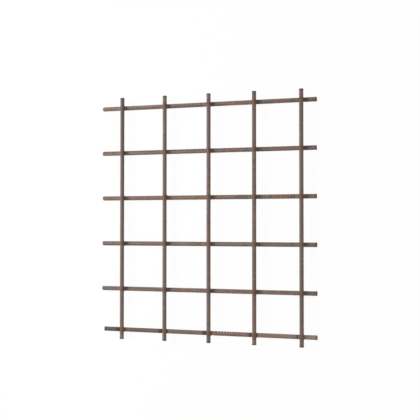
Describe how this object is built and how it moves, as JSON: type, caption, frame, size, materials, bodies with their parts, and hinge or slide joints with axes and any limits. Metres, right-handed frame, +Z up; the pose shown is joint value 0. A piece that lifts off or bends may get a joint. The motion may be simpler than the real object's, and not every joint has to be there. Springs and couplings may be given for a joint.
{
  "type": "welded wire mesh panel",
  "caption": "Flat panel of round steel bars welded across each other in a square grid, with plain bars on top of ribbed bars and bare weathered steel all over.",
  "frame": {"origin": "under the middle of the panel's outline, at the undersides of the cross bars", "axes": "+X along the ribbed cross bars, +Y along the plain line bars, +Z up from the cross bars to the line bars, with the panel lying flat"},
  "size_m": [0.481, 0.532, 0.0177],
  "materials": {
    "weathered_steel": "matte"
  },
  "bodies": {
    "root": {"mesh_panel": "weathered_steel"}
  },
  "joints": []
}
